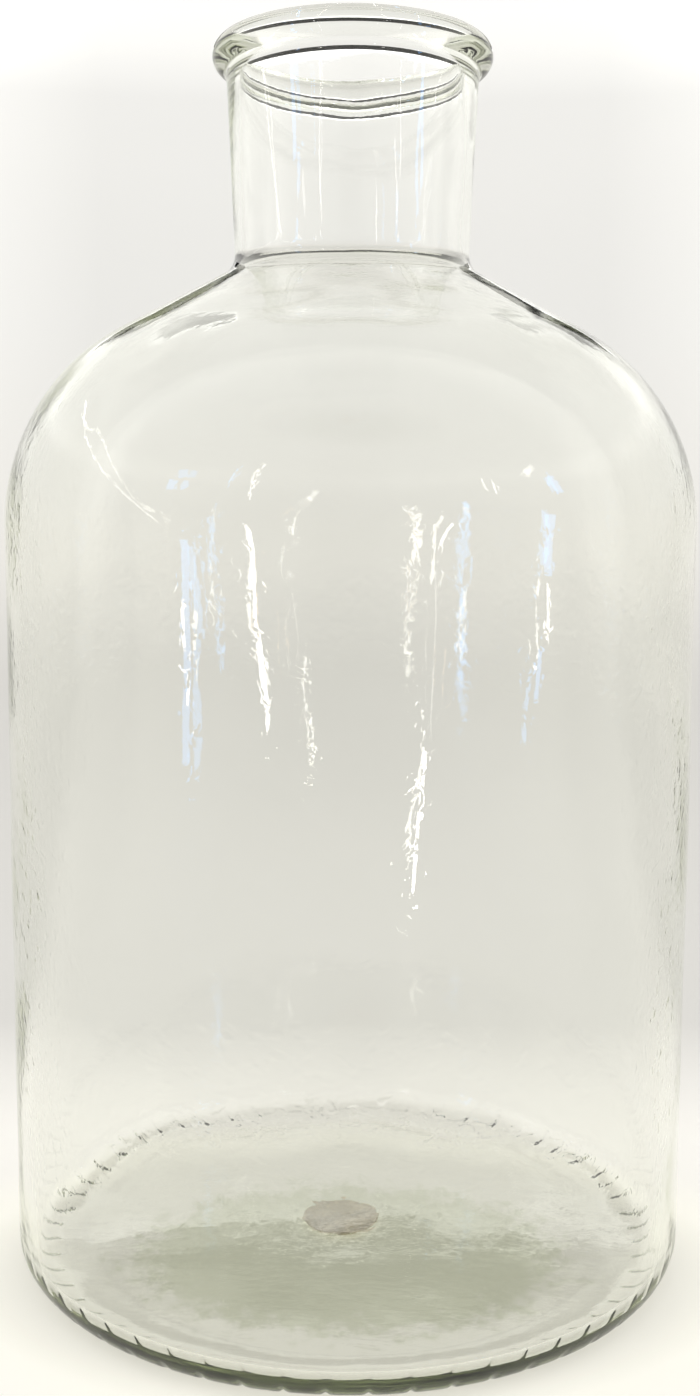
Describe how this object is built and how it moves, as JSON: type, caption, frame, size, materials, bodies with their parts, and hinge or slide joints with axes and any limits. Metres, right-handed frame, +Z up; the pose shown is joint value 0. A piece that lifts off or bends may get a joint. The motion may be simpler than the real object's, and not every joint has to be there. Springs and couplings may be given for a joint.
{
  "type": "glass bottle",
  "caption": "Clear glass bottle with a wide straight neck, rolled lip, domed shoulder, cylindrical body and thin knurled base; holds liquid bait, water or stems.",
  "frame": {"origin": "centre of the circle the bottle stands on, on the plane it stands on", "axes": "+Z up along the bottle's axis, out of the mouth; +Y away from the viewer, through the rear mould seam"},
  "size_m": [0.13, 0.13, 0.23],
  "materials": {
    "clear_glass": "smooth moulded glass, clear with a faint green tint in thick sections",
    "sticker_paper": "matt, plain"
  },
  "bodies": {
    "root": {"bottle": "clear_glass", "base_sticker": "sticker_paper"}
  },
  "joints": []
}
